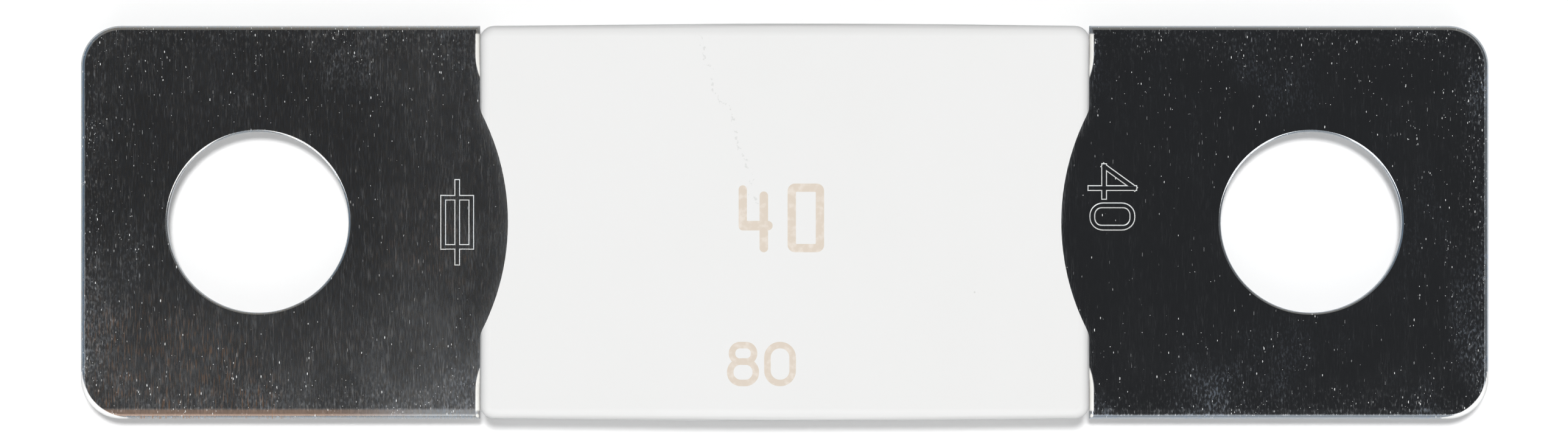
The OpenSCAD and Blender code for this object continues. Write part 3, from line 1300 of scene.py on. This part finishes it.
@dataclass
class Shell:
    """One ceramic half shell with softened relief rims."""

    node: str
    relief_x: float = 29.2
    relief_r: float = 13.5
    rim_z: float = 8.0
    rim_r: float = 0.12
    rim_steps: int = 3
    rim_angle: float = 60
    flat_angle: float = 0.4
    crease: float = 40

    def is_rim(self, edge: bmesh.types.BMEdge) -> bool:
        """Tells whether an edge lies on the sharp rim of a washer relief.

        Args:
            edge: The edge.

        Returns:
            True on a rim.
        """
        if len(edge.link_faces) != 2 or edge.calc_face_angle(0) < math.radians(self.rim_angle):
            return False
        middle = (edge.verts[0].co + edge.verts[1].co) / 2
        reach = math.hypot(abs(middle.x) - self.relief_x, middle.y)
        flat = all(abs(v.co.z - self.rim_z) < 1e-3 for v in edge.verts)
        return flat and abs(reach - self.relief_r) < 0.05

    def build(self, finish: bpy.types.Material) -> bpy.types.Object:
        """Builds the shell from a merged copy of its node.

        Args:
            finish: The ceramic.

        Returns:
            The piece that stands for the shell's node.
        """
        bm = bmesh.new()
        bm.from_mesh(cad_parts[self.node].data)
        bmesh.ops.scale(bm, vec=(1 / MM, 1 / MM, 1 / MM), verts=bm.verts)
        bmesh.ops.remove_doubles(bm, verts=bm.verts, dist=1e-4)
        bmesh.ops.dissolve_limit(bm, angle_limit=math.radians(self.flat_angle),
                                 verts=bm.verts, edges=bm.edges)
        rims = [e for e in bm.edges if self.is_rim(e)]
        round_edges(bm, rims, self.rim_r, self.rim_steps)
        piece = finished(bm, "dressed_" + self.node, finish, self.crease)
        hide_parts(self.node)
        return piece


@dataclass
class Rating:
    """Plain numbers printed on the upper face; a box is its left, low, right and high side."""

    face_z: float = 8.0
    ink_t: float = 0.006
    stroke: float = 0.47
    small_stroke: float = 0.37
    round_end: float = 9.0
    four_bars: tuple = ((-2.61, -0.46, -2.14, 2.1), (-2.61, -0.46, -0.68, 0.08),
                        (-1.42, -1.7, -0.94, 1.75))
    zero_box: tuple = (0.17, -1.7, 2.24, 2.2)
    zero_r: float = 0.42
    eight_top: tuple = (-3.17, -8.1, -1.55, -6.79)
    eight_top_r: float = 0.64
    eight_foot: tuple = (-3.27, -9.31, -1.45, -7.72)
    eight_foot_r: float = 0.78
    nought_box: tuple = (-1.16, -9.31, 0.64, -6.79)
    nought_r: float = 0.88

    def bar(self, left: float, low: float, right: float, high: float) -> BMesh:
        """Makes one round-ended stroke from its box in plan."""
        return rounded_plate(((left + right) / 2, (low + high) / 2, self.face_z),
                             (right - left, high - low, 2 * self.ink_t), self.round_end)

    def ring(self, left: float, low: float, right: float, high: float, radius: float,
             stroke: float) -> BMesh:
        """Makes one ring-shaped stroke.

        Args:
            left: Its left side.
            low: Its lower side.
            right: Its right side.
            high: Its upper side.
            radius: Radius of its outer corners.
            stroke: Its width.

        Returns:
            The ring.
        """
        centre = ((left + right) / 2, (low + high) / 2, self.face_z)
        outer = rounded_plate(centre, (right - left, high - low, 2 * self.ink_t), radius)
        inner = rounded_plate(centre, (right - left - 2 * stroke, high - low - 2 * stroke, 1),
                              max(radius - stroke, 0.05))
        return worked(outer, [inner])

    def four(self) -> BMesh:
        """Makes the large open four."""
        first, *others = [self.bar(*box) for box in self.four_bars]
        return worked(first, others, Cut.JOIN)

    def build(self, finish: bpy.types.Material) -> list:
        """Prints the numbers.

        Args:
            finish: The ink.

        Returns:
            The printed pieces.
        """
        small = self.small_stroke
        signs = {
            "print_four": self.four(),
            "print_zero": self.ring(*self.zero_box, self.zero_r, self.stroke),
            "print_eight": worked(self.ring(*self.eight_top, self.eight_top_r, small),
                                  [self.ring(*self.eight_foot, self.eight_foot_r, small)],
                                  Cut.JOIN),
            "print_nought": self.ring(*self.nought_box, self.nought_r, small),
        }
        return [finished(bm, name, finish) for name, bm in signs.items()]


@dataclass(frozen=True)
class SoftBox:
    """A soft box beside the table that only the gloss shows.

    It stands in a direction seen from above, in degrees from +X, and rises in degrees above the
    table. Its height, width and distance are in metres, and a glow of 1 is white.
    """

    name: str
    azimuth: float
    rise: float
    height: float
    glow: float
    width: float = 0.58
    distance: float = 0.8

    def stand(self) -> None:
        """Makes the light."""
        light = bpy.data.lights.new(self.name, "AREA")
        light.shape = "RECTANGLE"
        light.size, light.size_y = self.width, self.height
        light.energy = self.glow * math.pi * self.width * self.height
        turn, lift = math.radians(self.azimuth), math.radians(self.rise)
        place = self.distance * Vector((
            math.cos(turn) * math.cos(lift), math.sin(turn) * math.cos(lift), math.sin(lift)))
        item = bpy.data.objects.new(self.name, light)
        item.location = place
        item.visible_diffuse = False
        item.visible_camera = False
        item.rotation_euler = place.to_track_quat("Z", "Y").to_euler()
        bpy.context.scene.collection.objects.link(item)


@dataclass
class Studio:
    """The pale table, the lights and the camera that looks straight down."""

    table_size: float = 3.0
    key_strength: float = 2.5
    key_tilt: float = 5.5
    key_width: float = 4.6
    fill_strength: float = 0.7
    fill_tilt: float = 32.0
    fill_width: float = 50.0
    boxes: tuple = (
        SoftBox("left_box", 228, 46, 0.46, 1.7), SoftBox("left_box_low", 228, 5, 0.2, 3.6),
        SoftBox("right_box", 318, 46, 0.46, 1.7), SoftBox("right_box_low", 318, 5, 0.2, 3.6))
    paper: tuple = (0.9, 0.9, 0.9)
    paper_fibre: tuple = (0.92, 0.92, 0.92)
    paper_in_gloss: tuple = (0.44, 0.47, 0.50)
    paper_in_bounce: tuple = (0.5, 0.5, 0.5)
    rear_wall: tuple = (0.25, 0.245, 0.23)
    front_wall: tuple = (0.36, 0.40, 0.44)
    right_wall: tuple = (0.12, 0.13, 0.14)
    left_wall: tuple = (0.14, 0.21, 0.29)
    ceiling: tuple = (0.026, 0.027, 0.029)
    rear_air: tuple = (0.10, 0.10, 0.10)
    front_air: tuple = (0.24, 0.24, 0.24)
    backdrop: tuple = (0.95, 0.95, 0.95)
    lens: float = 360.0
    sensor_w: float = 36.0
    view_w: float = 0.08932
    aim: tuple = (-0.000035, 0.000017, 0.0046)

    def floor(self) -> bpy.types.Object:
        """Makes the pale table, lit a little from below as a light table is.

        Returns:
            The floor.
        """
        material, desk, shader, place = new_finish("pale_table", {
            "Roughness": 0.7, "Emission Strength": 0.1, "Specular IOR Level": 0.2,
            "Emission Color": (1, 1, 1, 1)})
        noise = desk.add("TexNoise", {"Vector": place, "Scale": 6.0})
        paper = desk.blend(noise.outputs[0], self.paper, self.paper_fibre)
        path = desk.add("LightPath")
        paper = desk.blend(path.outputs["Is Glossy Ray"], paper, self.paper_in_gloss)
        paper = desk.blend(path.outputs["Is Diffuse Ray"], paper, self.paper_in_bounce)
        desk.tree.links.new(paper, shader.inputs["Base Color"])
        bm = bmesh.new()
        bmesh.ops.create_grid(bm, x_segments=1, y_segments=1, size=self.table_size / 2)
        mesh = bpy.data.meshes.new("table")
        bm.to_mesh(mesh)
        bm.free()
        mesh.materials.append(material)
        table = bpy.data.objects.new("table", mesh)
        bpy.context.scene.collection.objects.link(table)
        return table

    def sun(self, name: str, strength: float, tilt: float, width: float) -> None:
        """Hangs a distant light that the gloss doesn't show.

        Args:
            name: Its name.
            strength: Its strength in watts per square metre.
            tilt: How far in degrees it leans to the front.
            width: The angle in degrees that it fills, which softens its shadows.
        """
        light = bpy.data.lights.new(name, "SUN")
        light.energy = strength
        light.angle = math.radians(width)
        item = bpy.data.objects.new(name, light)
        item.rotation_euler = (math.radians(tilt), 0, 0)
        item.visible_glossy = False
        bpy.context.scene.collection.objects.link(item)

    def room(self) -> None:
        """Paints the room: dark above the camera, pale walls that are brightest in front."""
        world = bpy.data.worlds.new("room")
        bpy.context.scene.world = world
        world.use_nodes = True
        desk = Desk(world.node_tree)
        parts = desk.add("SeparateXYZ", {0: desk.add("TexCoord").outputs["Generated"]})
        front = desk.ramp(desk.times(parts.outputs[1], -1.0), -0.8, 0.8)
        left = desk.ramp(desk.times(parts.outputs[0], -1.0), -0.9, 0.9)
        turned = desk.ramp(desk.math("ABSOLUTE", parts.outputs[0]), 0.3, 0.9)
        above = desk.ramp(parts.outputs[2], 0.78, 0.93)
        walls = desk.blend(turned, desk.blend(front, self.rear_wall, self.front_wall),
                           desk.blend(left, self.right_wall, self.left_wall))
        seen = desk.blend(above, walls, self.ceiling)
        air = desk.blend(front, self.rear_air, self.front_air)
        path = desk.add("LightPath")
        plain = desk.blend(path.outputs["Is Diffuse Ray"], seen, air)
        shown = desk.blend(path.outputs["Is Camera Ray"], plain, self.backdrop)
        desk.tree.links.new(shown, world.node_tree.nodes["Background"].inputs["Color"])

    def camera(self) -> None:
        """Hangs the camera over the fuse, framed as in the photograph."""
        data = bpy.data.cameras.new("camera")
        data.lens = self.lens
        data.sensor_width = self.sensor_w
        data.clip_end = 50
        item = bpy.data.objects.new("camera", data)
        x, y, plane_z = self.aim
        item.location = (x, y, self.view_w * self.lens / self.sensor_w + plane_z)
        bpy.context.scene.collection.objects.link(item)
        bpy.context.scene.camera = item

    def build(self) -> None:
        """Sets up the studio."""
        scene = bpy.context.scene
        scene.view_settings.view_transform = "Standard"
        scene.view_settings.look = "None"
        self.floor()
        self.sun("key", self.key_strength, -self.key_tilt, self.key_width)
        self.sun("fill", self.fill_strength, self.fill_tilt, self.fill_width)
        for box in self.boxes:
            box.stand()
        self.room()
        self.camera()


def dress_nodes(finishes: dict) -> None:
    """Gives the nodes that stay in view of a cut their finishes.

    Args:
        finishes: Material by node name.
    """
    for name, finish in finishes.items():
        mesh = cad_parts[name].data
        for place in range(len(mesh.materials)):
            mesh.materials[place] = finish
        LOG.info("%s: dressed with %s", name, finish.name)


def main() -> None:
    """Builds the fuse piece by piece and then the studio."""
    logging.basicConfig(level=logging.INFO, format="%(message)s")
    effects = Effects()
    ceramic = Ceramic(effects).make()
    cement = Cement(effects).make()
    FuseStrip().build(TinPlate(effects).make())
    Shell("upper_shell", rim_z=8.0).build(ceramic)
    Shell("lower_shell", rim_z=0.0).build(ceramic)
    Rating().build(RatingInk(effects).make())
    dress_nodes({"tin_bead": SolderTin(effects).make(), "cement_front": cement,
                 "cement_rear": cement})
    Studio().build()


if __name__ == "__main__":
    main()
